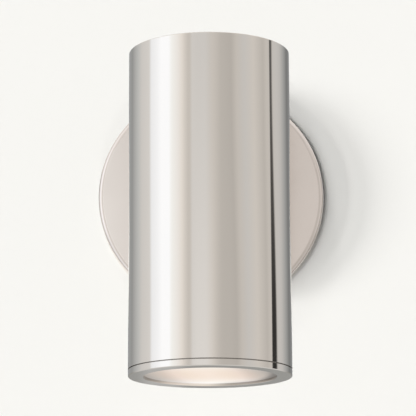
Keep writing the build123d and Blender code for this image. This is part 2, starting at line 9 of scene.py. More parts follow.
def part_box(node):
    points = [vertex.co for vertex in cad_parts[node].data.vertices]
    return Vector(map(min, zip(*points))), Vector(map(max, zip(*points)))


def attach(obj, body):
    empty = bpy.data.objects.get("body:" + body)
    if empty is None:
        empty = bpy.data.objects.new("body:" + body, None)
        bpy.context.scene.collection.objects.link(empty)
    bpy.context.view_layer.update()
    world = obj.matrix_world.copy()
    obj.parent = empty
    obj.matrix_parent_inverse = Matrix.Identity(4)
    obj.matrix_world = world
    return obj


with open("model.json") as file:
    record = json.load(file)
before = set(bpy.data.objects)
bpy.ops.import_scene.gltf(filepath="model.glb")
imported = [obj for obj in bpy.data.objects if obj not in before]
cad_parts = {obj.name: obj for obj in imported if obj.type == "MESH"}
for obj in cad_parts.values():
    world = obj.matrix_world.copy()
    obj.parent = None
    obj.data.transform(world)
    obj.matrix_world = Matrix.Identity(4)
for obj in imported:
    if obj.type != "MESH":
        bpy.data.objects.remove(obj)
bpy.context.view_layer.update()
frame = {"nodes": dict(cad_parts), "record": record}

# ---- sizes, in metres ----
MM = 0.001
TUBE_LOW, TUBE_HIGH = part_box("tube")
RING_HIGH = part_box("trim_ring")[1]
LENS_LOW, LENS_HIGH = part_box("lens")
PLATE_LOW, PLATE_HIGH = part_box("wall_plate")
TUBE_R = (TUBE_HIGH[0] - TUBE_LOW[0]) / 2
TUBE_OUT = -TUBE_LOW[1] - TUBE_R  # from the wall to the cylinder's axis
TUBE_BOTTOM = TUBE_LOW[2]
TUBE_WALL = 2.0 * MM
TUBE_BORE_R = TUBE_R - TUBE_WALL
SEAM_GAP = 0.6 * MM
RUNNING = 0.3 * MM  # between the spigot and the cylinder
SPIGOT_R = TUBE_BORE_R - RUNNING
SPIGOT_TOP = RING_HIGH[2]
LENS_SEAT = 3.1 * MM
OPENING_R = (LENS_HIGH[0] - LENS_LOW[0]) / 2 - LENS_SEAT
LAMP_WINDOW_R = 22 * MM
PLATE_R = (PLATE_HIGH[0] - PLATE_LOW[0]) / 2
PLATE_EDGE_R = 3.0 * MM
PLATE_WALL = 1.6 * MM
SKIN = 0.05 * MM  # how far inside a surface a boundary between two finishes lies

THREAD_PITCH = 1.5 * MM
THREAD_ROOT_R = SPIGOT_R - 0.05 * MM
THREAD_CREST_R = SPIGOT_R + 0.24 * MM
THREAD_TURNS = 3.6
THREAD_STEPS = 96  # in a turn
THREAD_FADE = THREAD_STEPS / 4  # the ridge rises and dies away over a quarter of a turn
RIDGE_FOOT = 0.42  # half the ridge's width at its foot and at its crest, in pitches
RIDGE_CREST = 0.08


# ---- helpers for node materials ----
MIX_FACTOR, MIX_FIRST, MIX_SECOND = 0, 6, 7  # sockets of the mix node, for colours
MIX_RESULT = 2
NOISE_SPAN = (0.3, 0.7)  # where most of a noise's values lie
FINE = 0.1 * MM  # the depth of a fine relief


def grey(level):
    return (level, level, level, 1)


class Nodes:
    """Adds shader nodes to a tree and links them, with sockets named in the call."""

    def __init__(self, tree):
        self.tree = tree
        tree.nodes.clear()

    def add(self, kind, **inputs):
        node = self.tree.nodes.new(kind)
        for key, value in inputs.items():
            name = key.replace("_", " ")
            if name in node.inputs:
                self.put(value, node.inputs[name])
            else:
                setattr(node, key, value)
        return node

    def put(self, value, socket):
        if isinstance(value, bpy.types.NodeSocket):
            self.tree.links.new(value, socket)
        else:
            socket.default_value = value

    def math(self, operation, *values, clamp=False):
        node = self.tree.nodes.new("ShaderNodeMath")
        node.operation = operation
        node.use_clamp = clamp
        for value, socket in zip(values, node.inputs):
            self.put(value, socket)
        return node.outputs[0]

    def length(self, across, along):
        squares = [self.math("MULTIPLY", side, side) for side in (across, along)]
        return self.math("SQRT", self.math("ADD", *squares))

    def smooth(self, value, low, high, out_low=0.0, out_high=1.0):
        """A soft step: out_low where value is low, out_high where it is high."""
        node = self.tree.nodes.new("ShaderNodeMapRange")
        node.interpolation_type = "SMOOTHSTEP"
        for given, socket in zip((value, low, high, out_low, out_high), node.inputs):
            self.put(given, socket)
        return node.outputs[0]

    def spread(self, noise, lowest, highest):
        return self.smooth(noise, *NOISE_SPAN, lowest, highest)

    def mix(self, factor, first, second, blend="MIX"):
        node = self.tree.nodes.new("ShaderNodeMix")
        node.data_type = "RGBA"
        node.blend_type = blend
        self.put(factor, node.inputs[MIX_FACTOR])
        self.put(first, node.inputs[MIX_FIRST])
        self.put(second, node.inputs[MIX_SECOND])
        return node.outputs[MIX_RESULT]

    def ramp(self, value, stops):
        node = self.tree.nodes.new("ShaderNodeValToRGB")
        elements = node.color_ramp.elements
        while len(elements) < len(stops):
            elements.new(0.5)
        for element, (place, colour) in zip(elements, stops):
            element.position = place
            element.color = (*colour, 1)
        self.put(value, node.inputs[0])
        return node.outputs[0]

    def place(self):
        return self.add("ShaderNodeTexCoord").outputs["Object"]

    def split(self, vector):
        return self.add("ShaderNodeSeparateXYZ", Vector=vector).outputs

    def noise(self, scale, detail=3.0, roughness=0.5, vector=None):
        if vector is None:
            vector = self.place()
        made = self.add("ShaderNodeTexNoise", Scale=scale, Detail=detail, Roughness=roughness)
        self.put(vector, made.inputs["Vector"])
        return made.outputs["Fac"]


def material(name, paint):
    """A node material. paint(nodes) returns the closure that goes to the surface."""
    made = bpy.data.materials.new(name)
    made.use_nodes = True
    nodes = Nodes(made.node_tree)
    closure = paint(nodes)
    nodes.add("ShaderNodeOutputMaterial", Surface=closure)
    return made


def shader(nodes, base, rough, metal, relief, strength, depth=FINE, **more):
    """A surface shader whose relief is a bump of that strength and depth."""
    lift = nodes.add("ShaderNodeBump", Height=relief, Strength=strength, Distance=depth).outputs[0]
    looks = {"Base_Color": base, "Roughness": rough, "Metallic": metal, "Normal": lift, **more}
    return nodes.add("ShaderNodeBsdfPrincipled", **looks).outputs[0]


def tube_radius(nodes):
    """The distance from the cylinder's axis, with the place that it is measured to."""
    x, y, z = nodes.split(nodes.place())
    out = nodes.math("ADD", y, TUBE_OUT)
    return nodes.length(x, out), (x, out, z)


# ---- polished metal ----
NICKEL = ((0.800, 0.757, 0.708, 1), (0.785, 0.744, 0.697, 1))
SATIN_NICKEL = ((0.815, 0.742, 0.692, 1), (0.795, 0.724, 0.676, 1))
BARE_NICKEL_AND_SEAM_SHADE = (0.52, 0.49, 0.46, 1)  # duller plate in the bore, and painted shade in the seam between cylinder and ring
BARE_ROUGH = 0.42
HAZE = (35.0, 4.0)  # scale and detail
HAZE_LIFT = (0.02, 0.4 * MM)  # strength and depth
NICKEL_ROUGH = (0.035, 0.06)
TUBE_ROUGH = (0.035, 0.055)
RING_ROUGH = (0.04, 0.06)
SATIN_ROUGH = (0.21, 0.26)
EDGE_POLISH = 0.4  # the plate's rounded edge is smoother than its face by this factor
SPUN_MARKS = (4200.0, 2.0)
SPUN_LIFT = 0.05
PAN_COLOURS = ((0.44, 0.44, 0.43, 1), (0.54, 0.53, 0.51, 1))
PAN_CLOUD = (70.0, 4.0)
PAN_ROUGH = 0.5
PAN_DULL = 0.8  # how far the pan's inside is from metal
THREAD_RELIEF = 0.9 * MM
# Soft steps are (from, to) or (from, to, value at from, value at to). These give the painted shade on the
# opening's wall, in shares of the opening's radius, from its middle.
BORE_SHADE_LEFT = (-0.60, -0.98, 0.0, 0.38)
BORE_SHADE_RIGHT = (-0.15, 0.35, 0.0, 0.46)
BORE_SHADE_END = (1.02, 0.88)


def polish(nodes, colours, roughness, bare_and_seam_shade=None):
    """Nickel plate with the faintest haze, duller and darker where the mask is 1: unpolished plate, and
    painted shade in the seam.
    """
    haze = nodes.noise(*HAZE)
    base = nodes.mix(haze, *colours)
    rough = nodes.spread(haze, *roughness)
    if bare_and_seam_shade is not None:
        # darker plate: unpolished in the bore, painted shade in the seam
        base = nodes.mix(bare_and_seam_shade, base, BARE_NICKEL_AND_SEAM_SHADE)
        rough = nodes.math("MAXIMUM", rough, nodes.math("MULTIPLY", bare_and_seam_shade, BARE_ROUGH))
    return base, rough, haze


def nickel_paint(nodes):
    """Mirror-polished nickel plate."""
    base, rough, haze = polish(nodes, NICKEL, NICKEL_ROUGH)
    return shader(nodes, base, rough, 1.0, haze, *HAZE_LIFT)


def plate_paint(nodes):
    """Softer-polished, warmer nickel with a brighter edge; unpolished grey inside the pan."""
    base, rough, _ = polish(nodes, SATIN_NICKEL, SATIN_ROUGH)
    x, y, z = nodes.split(nodes.place())
    radius = nodes.length(x, z)
    at_edge = nodes.smooth(radius, PLATE_R - PLATE_EDGE_R, PLATE_R, 1.0, EDGE_POLISH)
    rough = nodes.math("MULTIPLY", rough, at_edge)
    rings = nodes.add("ShaderNodeCombineXYZ", X=radius).outputs[0]
    marks = nodes.noise(*SPUN_MARKS, vector=rings)
    within = nodes.math("LESS_THAN", radius, PLATE_R - PLATE_WALL + SKIN)
    behind_face = nodes.math("GREATER_THAN", y, PLATE_LOW[1] + PLATE_WALL - SKIN)
    inside = nodes.math("MULTIPLY", within, behind_face)
    base = nodes.mix(inside, base, nodes.mix(nodes.noise(*PAN_CLOUD), *PAN_COLOURS))
    rough = nodes.math("MAXIMUM", rough, nodes.math("MULTIPLY", inside, PAN_ROUGH))
    metal = nodes.math("SUBTRACT", 1.0, nodes.math("MULTIPLY", inside, PAN_DULL))
    return shader(nodes, base, rough, metal, marks, SPUN_LIFT)


def tube_paint(nodes):
    """Polished nickel outside; inside, duller plate with the thread that takes the ring; its bottom end
    face, in the seam, is duller and darker as painted shade.
    """
    radius, (x, out, z) = tube_radius(nodes)
    inside = nodes.math("LESS_THAN", radius, TUBE_BORE_R + TUBE_WALL / 4)
    end_face = nodes.math("LESS_THAN", z, TUBE_BOTTOM + SKIN)
    # the bore is duller plate; the end face in the seam is darkened as painted shade
    base, rough, _ = polish(nodes, NICKEL, TUBE_ROUGH, nodes.math("MAXIMUM", inside, end_face))
    turn = nodes.math("DIVIDE", nodes.math("ARCTAN2", out, x), 2 * math.pi)
    climb = nodes.math("DIVIDE", z, THREAD_PITCH)
    wave = nodes.math("PINGPONG", nodes.math("SUBTRACT", climb, turn), 0.5)
    threaded = nodes.math("LESS_THAN", z, SPIGOT_TOP + THREAD_PITCH)
    height = nodes.math("MULTIPLY", nodes.math("MULTIPLY", wave, threaded), inside)
    return shader(nodes, base, rough, 1.0, height, 1.0, THREAD_RELIEF)


def ring_paint(nodes):
    """Polished nickel lip; the neck in the seam and the spigot above it are duller and darker, as painted
    shade in the seam; painted shade also darkens the opening's wall at its ends.
    """
    radius, (x, _, z) = tube_radius(nodes)
    # the neck in the seam is darkened as painted shade
    above_lip = nodes.math("GREATER_THAN", z, TUBE_BOTTOM - SEAM_GAP - SKIN)
    within = nodes.math("LESS_THAN", radius, TUBE_R - SEAM_GAP / 4)
    base, rough, haze = polish(nodes, NICKEL, RING_ROUGH, nodes.math("MULTIPLY", above_lip, within))
    # painted shade: the opening's wall is darker towards its left and right ends
    opening = nodes.math("LESS_THAN", radius, OPENING_R + SKIN)
    share = nodes.math("DIVIDE", x, OPENING_R)
    at_left = nodes.smooth(share, *BORE_SHADE_LEFT)
    at_right = nodes.smooth(share, *BORE_SHADE_RIGHT)
    at_right = nodes.math("MULTIPLY", at_right, nodes.smooth(share, *BORE_SHADE_END))
    painted_bore_shade = nodes.math("MULTIPLY", opening, nodes.math("ADD", at_left, at_right))
    base = nodes.mix(painted_bore_shade, base, grey(0.0))
    return shader(nodes, base, rough, 1.0, haze, *HAZE_LIFT)


# ---- the other metals, ceramic and plastic ----
CLOUD = (80.0, 3.0)  # scale and detail
SPECKS = (2200.0, 2.0)
SPECK_STEP = (0.70, 0.76)
SPECK_COLOUR = (0.55, 0.50, 0.43, 1)
WORN_THROUGH = (0.58, 0.75)


def coating(colours, roughness, lift, cloud=CLOUD, grain=None, metal=0.0, patches=None, specks=False):
    """Two shades that drift into each other with the cloud, under a relief of fine grain."""

    def paint(nodes):
        drift = nodes.noise(*cloud)
        base = nodes.mix(nodes.smooth(drift, *patches) if patches else drift, *colours)
        if specks:
            base = nodes.mix(nodes.smooth(nodes.noise(*SPECKS), *SPECK_STEP), base, SPECK_COLOUR)
        relief = nodes.noise(*grain) if grain else drift
        return shader(nodes, base, nodes.spread(drift, *roughness), metal, relief, lift)

    return paint


zinc_plate_paint = coating(
    ((0.60, 0.61, 0.63, 1), (0.70, 0.69, 0.66, 1)),
    roughness=(0.24, 0.42),
    lift=0.12,
    cloud=(120.0, 5.0, 0.6),
    grain=(2600.0, 2.0),
    metal=1.0,
)
blackened_steel_paint = coating(
    ((0.10, 0.10, 0.11, 1), (0.17, 0.165, 0.16, 1)),
    roughness=(0.25, 0.45),
    lift=0.08,
    cloud=(150.0, 4.0),
    grain=(1800.0, 3.0),
    metal=1.0,
)
worn_pin_paint = coating(
    ((0.72, 0.70, 0.66, 1), (0.62, 0.60, 0.57, 1)),
    roughness=(0.12, 0.3),
    lift=0.05,
    cloud=(700.0, 4.0),
    metal=1.0,
)
# tin over copper, with the copper showing through in places
tinned_copper_paint = coating(
    ((0.72, 0.70, 0.66, 1), (0.75, 0.48, 0.32, 1)),
    roughness=(0.22, 0.4),
    lift=0.1,
    cloud=(900.0, 4.0),
    metal=1.0,
    patches=WORN_THROUGH,
)
green_screw_paint = coating(
    ((0.02, 0.22, 0.08, 1), (0.04, 0.31, 0.12, 1)),
    roughness=(0.22, 0.36),
    lift=0.08,
    cloud=(500.0, 3.0),
    metal=0.7,
)
# unglazed steatite: warm white and dense, with fine dark specks
ceramic_paint = coating(
    ((0.80, 0.77, 0.70, 1), (0.86, 0.84, 0.78, 1)),
    roughness=(0.5, 0.65),
    lift=0.15,
    cloud=(90.0, 3.0),
    grain=(1500.0, 3.0),
    specks=True,
)
# powder-coated die-cast aluminium
lamp_shell_paint = coating(
    ((0.76, 0.76, 0.77, 1), (0.83, 0.83, 0.83, 1)),
    roughness=(0.38, 0.5),
    lift=0.18,
    cloud=(60.0, 3.0),
    grain=(1100.0, 3.0),
)
silicone_paint = coating(
    ((0.74, 0.74, 0.72, 1), (0.82, 0.82, 0.80, 1)),
    roughness=(0.45, 0.6),
    lift=0.1,
    cloud=(250.0, 3.0),
    grain=(1400.0, 3.0),
)


def plastic(colours, roughness):
    """Moulded plastic with a fine spark-eroded texture."""
    return coating(colours, roughness, lift=0.12, grain=(1900.0, 3.0))


def insulation(*colours):
    """Extruded wire insulation, with a soft sheen and slight scuffs."""
    return coating(colours, (0.34, 0.5), lift=0.06, cloud=(600.0, 4.0), grain=(2500.0, 3.0))


# ---- what glows ----
LENS_GLOW = (
    (0.00, (0.84, 0.71, 0.61)),
    (0.30, (0.79, 0.66, 0.55)),
    (0.48, (0.74, 0.61, 0.52)),
    (0.65, (0.58, 0.48, 0.41)),
    (0.80, (0.47, 0.41, 0.36)),
    (1.00, (0.31, 0.285, 0.26)),
)
WINDOW_GLOW = (
    (0.0, (1.0, 0.90, 0.74)),
    (0.8, (1.0, 0.88, 0.70)),
    (1.0, (0.75, 0.64, 0.50)),
)
WHITER = (1.20, 1.42, 1.62, 1)  # what the near and far ends are multiplied by
WHITER_POWER = 2.4
FROST_GRAIN = (3200.0, 2.0)
FROST_ROUGH = (0.42, 0.55)
FROST_BASE = 0.10
FROST_LIFT = 0.06
GRAIN_SEEN = 0.05
GLASS_IOR = 1.47
# the lens is dim at its right end and at its far right; all of these are in its radius
DIM_TOWARDS = (0.985, 0.17)  # to the right and a little to the front
DIM_END = (0.74, 0.98)
DIM_FAR = (0.5, 0.9)
DIM_FAR_SHARE = 0.42
DIM_RIGHT_OF = (-0.1, 0.5)
DIM_RIM = (0.78, 0.96)


def dimming(nodes, right, out, radius, shade):
    """How much darker a glowing face is towards its right end."""
    towards = [nodes.math("MULTIPLY", part, weight) for part, weight in zip((right, out), DIM_TOWARDS)]
    end = nodes.smooth(nodes.math("ADD", *towards), *DIM_END, 0.0, shade)
    far = nodes.smooth(out, *DIM_FAR, 0.0, shade * DIM_FAR_SHARE)
    far = nodes.math("MULTIPLY", far, nodes.smooth(right, *DIM_RIGHT_OF))
    return nodes.math("MULTIPLY", nodes.math("ADD", end, far), nodes.smooth(radius, *DIM_RIM))


def glow(stops, reach, strength, skew=0.0, flatten=1.0, shift=0.0, shade=0.0):
    """A frosted face that glows, brightest over the lamp and dimmer towards its edge."""

    def paint(nodes):
        distance, (x, y, _) = tube_radius(nodes)
        right, out, radius = [nodes.math("DIVIDE", part, reach) for part in (x, y, distance)]
        across = nodes.math("ADD", right, shift / reach)
        across = nodes.math("SUBTRACT", across, nodes.math("MULTIPLY", out, skew))
        light = nodes.ramp(nodes.length(across, nodes.math("MULTIPLY", out, flatten)), stops)
        grain = nodes.noise(*FROST_GRAIN)
        light = nodes.mix(GRAIN_SEEN, light, nodes.mix(grain, grey(0.3), grey(0.7)), "OVERLAY")
        light = nodes.mix(dimming(nodes, right, out, radius, shade), light, grey(0.0))
        ends = nodes.math("POWER", nodes.math("ABSOLUTE", out), WHITER_POWER, clamp=True)
        light = nodes.mix(ends, light, nodes.mix(1.0, light, WHITER, "MULTIPLY"))
        frost = nodes.spread(grain, *FROST_ROUGH)
        more = {"Emission_Color": light, "Emission_Strength": strength, "IOR": GLASS_IOR}
        return shader(nodes, grey(FROST_BASE), frost, 0.0, grain, FROST_LIFT, **more)

    return paint


# ---- materials ----
BLACK_NYLON = ((0.025, 0.025, 0.026, 1), (0.045, 0.045, 0.046, 1))
WHITE_LAMP = ((0.78, 0.78, 0.76, 1), (0.84, 0.84, 0.82, 1))
BLACK_WIRE = ((0.016, 0.016, 0.017, 1), (0.035, 0.035, 0.036, 1))
WHITE_WIRE = ((0.76, 0.76, 0.74, 1), (0.84, 0.84, 0.82, 1))
GREEN_WIRE = ((0.02, 0.20, 0.06, 1), (0.04, 0.28, 0.09, 1))
lens_glow = glow(LENS_GLOW, OPENING_R, strength=1.0, skew=0.15, flatten=0.35, shift=1.5 * MM, shade=0.55)

# by the name of a node or, for the rest, of its material slot
PAINTS = {
    "nickel": ("polished_nickel", nickel_paint),
    "wall_plate": ("satin_nickel_plate", plate_paint),
    "tube": ("polished_nickel_tube", tube_paint),
    "trim_ring": ("polished_nickel_ring", ring_paint),
    "plated_steel": ("zinc_plated_steel", zinc_plate_paint),
    "spring_steel": ("blackened_spring_steel", blackened_steel_paint),
    "pin_metal": ("contact_pin_nickel", worn_pin_paint),
    "tinned_copper": ("tinned_copper", tinned_copper_paint),
    "green_screw": ("green_ground_screw", green_screw_paint),
    "holder_ceramic": ("steatite_ceramic", ceramic_paint),
    "bushing_plastic": ("black_nylon", plastic(BLACK_NYLON, (0.4, 0.55))),
    "lamp_base_plastic": ("white_lamp_plastic", plastic(WHITE_LAMP, (0.35, 0.5))),
    "live_insulation": ("black_insulation", insulation(*BLACK_WIRE)),
    "neutral_insulation": ("white_insulation", insulation(*WHITE_WIRE)),
    "ground_insulation": ("green_insulation", insulation(*GREEN_WIRE)),
    "lamp_shell": ("lamp_powder_coat", lamp_shell_paint),
    "lamp_window_plastic": ("lamp_window_glow", glow(WINDOW_GLOW, LAMP_WINDOW_R, strength=1.3)),
    "frosted_glass": ("frosted_lens", lens_glow),
    "silicone": ("white_silicone", silicone_paint),
}
materials = {key: material(name, paint) for key, (name, paint) in PAINTS.items()}

for entry in frame["record"]["subparts"]:
    node = entry["node"]
    chosen = materials[node if node in materials else entry["material_slot"]]
    for slot in frame["nodes"][node].material_slots:
        slot.material = chosen


# ---- thread on the ring's spigot ----
def ridge_row(step, total, low):
    """The ridge's four corners at that step: its foot, its crest's two edges, its foot."""
    angle = 2 * math.pi * step / THREAD_STEPS
    z = low + THREAD_PITCH * step / THREAD_STEPS
    fade = min(1.0, step / THREAD_FADE, (total - step) / THREAD_FADE)
    crest_r = THREAD_ROOT_R + (THREAD_CREST_R - THREAD_ROOT_R) * fade
    row = []
    for radius, lift in (
        (THREAD_ROOT_R, -RIDGE_FOOT),
        (crest_r, -RIDGE_CREST),
        (crest_r, RIDGE_CREST),
        (THREAD_ROOT_R, RIDGE_FOOT),
    ):
        x = radius * math.cos(angle)
        y = radius * math.sin(angle) - TUBE_OUT
        row.append((x, y, z + lift * THREAD_PITCH))
    return row


def thread(name, low, chosen, body):
    """A right-hand helical ridge round the cylinder's axis, from low upwards."""
    build = bmesh.new()
    total = int(THREAD_TURNS * THREAD_STEPS)
    rows = []
    for step in range(total + 1):
        rows.append([build.verts.new(corner) for corner in ridge_row(step, total, low)])
    for first, second in zip(rows, rows[1:]):
        for index in range(len(first)):
            after = (index + 1) % len(first)
            build.faces.new((first[index], first[after], second[after], second[index]))
    build.faces.new(rows[0][::-1])
    build.faces.new(rows[-1])
    bmesh.ops.recalc_face_normals(build, faces=build.faces)
    mesh = bpy.data.meshes.new(name)
    build.to_mesh(mesh)
    build.free()
    mesh.materials.append(chosen)
    piece = bpy.data.objects.new(name, mesh)
    bpy.context.collection.objects.link(piece)
    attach(piece, body)


thread("ring_thread", TUBE_BOTTOM + THREAD_PITCH, materials["nickel"], "ring")


# ---- wall and floor ----
WALL_PAINT = (0.86, 0.852, 0.82, 1)
FLOOR_PAINT = (0.86, 0.85, 0.82, 1)
TOOTH = (260.0, 3.0)  # the roller's texture
TOOTH_SHADE = 0.99
WALL_BEHIND = 0.2 * MM
WALL_SIDE = 2.5
WALL_TOP = 1.7
FLOOR_LEVEL = -1.3
FLOOR_SIDE = 6
FLOOR_FRONT = -8
NEAR_WALL_R = PLATE_R + 6.0 * MM
NEAR_WALL_DROP = 28.0 * MM  # how much further it reaches at the bottom
NEAR_WALL_CORNERS = 48


def sheet(name, corners, chosen):
    mesh = bpy.data.meshes.new(name)
    mesh.from_pydata(corners, [], [range(len(corners))])
    mesh.materials.append(chosen)
    made = bpy.data.objects.new(name, mesh)
    bpy.context.collection.objects.link(made)
    return made


def matt_paint(colour):
    """Matt paint with a faint roller texture, seen from its front only."""

    def paint(nodes):
        darker = [channel * TOOTH_SHADE for channel in colour[:3]] + [1]
        shade = nodes.mix(nodes.noise(*TOOTH), colour, darker)
        front = nodes.add("ShaderNodeBsdfDiffuse", Color=shade).outputs[0]
        back = nodes.add("ShaderNodeBsdfTransparent").outputs[0]
        facing = nodes.add("ShaderNodeNewGeometry").outputs["Backfacing"]
        mixed = nodes.add("ShaderNodeMixShader")
        for value, socket in zip((facing, front, back), mixed.inputs):
            nodes.put(value, socket)
        return mixed.outputs[0]

    return paint


def near_wall_corner(number):
    angle = math.radians(number * 360 / NEAR_WALL_CORNERS)
    reach = NEAR_WALL_R + NEAR_WALL_DROP * max(0.0, -math.sin(angle))
    return (reach * math.cos(angle), WALL_BEHIND, reach * math.sin(angle))


wall_material = material("wall_white", matt_paint(WALL_PAINT))
wall = sheet(
    "wall",
    [
        (-WALL_SIDE, WALL_BEHIND, FLOOR_LEVEL),
        (WALL_SIDE, WALL_BEHIND, FLOOR_LEVEL),
        (WALL_SIDE, WALL_BEHIND, WALL_TOP),
        (-WALL_SIDE, WALL_BEHIND, WALL_TOP),
    ],
    wall_material,
)
floor = sheet(
    "floor",
    [
        (-FLOOR_SIDE, FLOOR_FRONT, FLOOR_LEVEL),
        (FLOOR_SIDE, FLOOR_FRONT, FLOOR_LEVEL),
        (FLOOR_SIDE, FLOOR_SIDE, FLOOR_LEVEL),
        (-FLOOR_SIDE, FLOOR_SIDE, FLOOR_LEVEL),
    ],
    material("floor_pale", matt_paint(FLOOR_PAINT)),
)
# the backplate's edge mirrors the wall beside it, and the studio stands for the rest of the room
near_corners = [near_wall_corner(number) for number in range(NEAR_WALL_CORNERS)]
near_wall = sheet("near_wall", near_corners, wall_material)
for surface in (wall, floor, near_wall):
    surface.visible_glossy = surface is near_wall
    surface.visible_camera = surface is not near_wall
    surface.visible_diffuse = False
    surface.visible_shadow = False
    surface.visible_transmission = False


# ---- lights ----
AMBIENT = 0.10  # what the room adds everywhere
AMBIENT_ON_WALL = 0.9  # the share of it that reaches the wall
WALL_WHITE = (0.939, 0.930, 0.896, 1)
# the wall is lit from the left: azimuth, elevation and spread in degrees, and the light's share
WALL_LIGHTS = (
    (-14, -8, 14, 0.31),  # the main light
    (-8, -16, 8, 0.13),
    (-28, -8, 20, 0.13),
    (-54, -12, 8, 0.10),
    (-71, -7, 16, 0.23),  # a window far to the left
    (0, -58, 10, 0.05),  # thrown back by the floor
    (-38, 58, 10, 0.05),  # thrown back by the ceiling
)
PLATE_LIGHT_SIZE = (0.12, 0.30)
PLATE_LIGHT_ENERGY = 0.045
PLATE_LIGHT_COLOUR = (0.81, 0.95, 1.0)
PLATE_LIGHT_PLACE = (-0.15, -0.50, 0.11)
PLATE_LIGHT_TOWARDS = (0.10, 0.50, -0.11)


def linked(name, pieces):
    group = bpy.data.collections.new(name)
    for piece in pieces:
        group.objects.link(piece)
    return group


def aim(lamp, towards, lit):
    made = bpy.data.objects.new(lamp.name, lamp)
    bpy.context.collection.objects.link(made)
    made.rotation_euler = Vector(towards).to_track_quat("-Z", "Z").to_euler()
    made.light_linking.receiver_collection = lit
    return made


def distant_light(name, azimuth, elevation, spread, energy, lit, casting=None):
    """A soft distant light that stands at that azimuth, + to the right, and elevation."""
    lamp = bpy.data.lights.new(name, "SUN")
    lamp.angle = math.radians(spread)
    lamp.energy = energy
    turn, lift = math.radians(azimuth), math.radians(elevation)
    stands = Vector((math.sin(turn) * math.cos(lift), -math.cos(turn) * math.cos(lift), math.sin(lift)))
    made = aim(lamp, -stands, lit)
    if casting:
        # sampled as a light only, so that nothing outside the blockers dims it
        lamp.cycles.use_multiple_importance_sampling = False
        made.light_linking.blocker_collection = casting


def wall_lights(lit, casting):
    """Lights that together bring the wall to its white; only one piece casts a shadow in them."""
    wall_lit = WALL_WHITE[0] - AMBIENT * WALL_PAINT[0] * AMBIENT_ON_WALL
    for number, (azimuth, elevation, spread, part_of) in enumerate(WALL_LIGHTS):
        slant = math.cos(math.radians(azimuth)) * math.cos(math.radians(elevation))
        energy = part_of * wall_lit * math.pi / WALL_PAINT[0] / slant
        distant_light(f"wall_{number}", azimuth, elevation, spread, energy, lit, casting)


def plate_light(lit):
    """A soft panel at the upper left, for the backplate's face."""
    lamp = bpy.data.lights.new("plate_light", "AREA")
    lamp.shape = "RECTANGLE"
    lamp.size, lamp.size_y = PLATE_LIGHT_SIZE
    lamp.energy = PLATE_LIGHT_ENERGY
    lamp.color = PLATE_LIGHT_COLOUR
    aim(lamp, PLATE_LIGHT_TOWARDS, lit).location = PLATE_LIGHT_PLACE


pieces = frame["nodes"]
polished = {"wall_plate", "stem", "tube", "top_cap", "trim_ring", "rim_screws"}
glowing = {"lens", "lamp_window"}
matt = [piece for name, piece in pieces.items() if name not in polished | glowing]
wall_group = linked("lit_wall", [wall, near_wall])
floor_group = linked("lit_floor", [floor])
matt_group = linked("lit_matt", matt)
plate_group = linked("plate", [pieces["wall_plate"]])

# name, azimuth, elevation, spread, energy and what it lights
wall_lights(wall_group, plate_group)
distant_light("floor_light", -30, 70, 20, 2.9, floor_group)
plate_light(plate_group)
distant_light("front_light", -35, 35, 30, 1.7, matt_group)
distant_light("back_light", 150, 30, 30, 1.7, matt_group)
# straight from behind, so that it reaches the pan and not the plate's rim
distant_light("pan_light", 180, 0, 0.2, 1.3, plate_group)
distant_light("low_light", 20, -50, 40, 0.8, matt_group)


# ---- the studio round the light, as polished metal sees it ----
PLAIN = (1.0, 1.0, 1.0)
WARM = (1.0, 0.970, 0.935)
COOL = (1.0, 1.035, 1.050)
DAYLIGHT = (1.0, 1.045, 1.110)
# azimuth in degrees, 0 in front of the wall and + to the right; level; tint
STUDIO = (
    (-180, 0.34, COOL),  # the room behind
    (-156, 0.37, COOL),
    (-144, 0.35, COOL),
    (-131, 0.505, COOL),  # a grey card at the left
    (-121, 0.62, COOL),
    (-112, 0.74, PLAIN),
    (-94.6, 0.81, PLAIN),
    (-90.8, 1.03, DAYLIGHT),  # the big softbox, brightest in its middle
    (-79, 1.13, DAYLIGHT),
    (-72, 1.22, DAYLIGHT),
    (-59, 1.22, DAYLIGHT),
    (-54, 1.11, COOL),  # its glow on the room's left side
    (-45, 1.03, PLAIN),
    (-38.5, 0.94, WARM),
    (-34, 0.80, WARM),
    (-29.5, 0.70, WARM),
    (-26.5, 0.705, WARM),
    (-23.5, 0.785, PLAIN),  # the front card
    (-5, 0.785, PLAIN),
    (6, 0.725, WARM),
    (17, 0.61, WARM),
    (32, 0.57, WARM),
    (40, 0.675, WARM),  # a window at the right
    (52, 0.69, PLAIN),
    (67, 0.745, WARM),
    (84, 0.605, WARM),
    (90, 0.67, WARM),
    (113, 0.665, PLAIN),
    (122, 0.61, PLAIN),
    (134, 0.425, COOL),
    (148, 0.22, COOL),
    (180, 0.34, COOL),
)
# Soft steps, as above: over azimuth, over z (the sine of a line of sight's elevation) or across the flag.
SIGHT = (0.27, 0.15)  # z of the lines of sight past the cylinder's top and its foot
LEAN_LEFT = (-52.0, -66.0, 0.0, 2.3)
LEAN_RIGHT = (20.0, 32.0, 0.0, 6.6)
LEAN_LESS = (44.0, 62.0, 0.0, 2.4)
LEAN_ENDS = (128.0, 112.0)
CARD_MIDDLE = -8.0
CARD_WIDTH = (22.0, 7.0)
CARD_SLOPE = (0.12, 0.30, 0.12, -0.05)
FLAG_AT = 99.35
FLAG_HALF = (*SIGHT, 2.0, 4.2)
FLAG_LEVEL = (*SIGHT, 0.16, 0.06)
FLAG_MORE_LEFT = (*SIGHT, 0.5, 1.6)
FLAG_LEFT_EDGE = (1.6, -1.6)
FLAG_RIGHT_EDGE = (-2.6, 3.8)
CEILING = (0.42, 0.80, 0.0, 0.75)
CEILING_GREY = 0.95
WALL_FROM = (96.0, 112.0)
WALL_ABOVE = (0.32, 0.42)
WALL_SEEN = (0.88, 0.87, 0.84, 1)
BACK_HALF = (110.0, 140.0)
SKIRTING = (-0.02, -0.20)
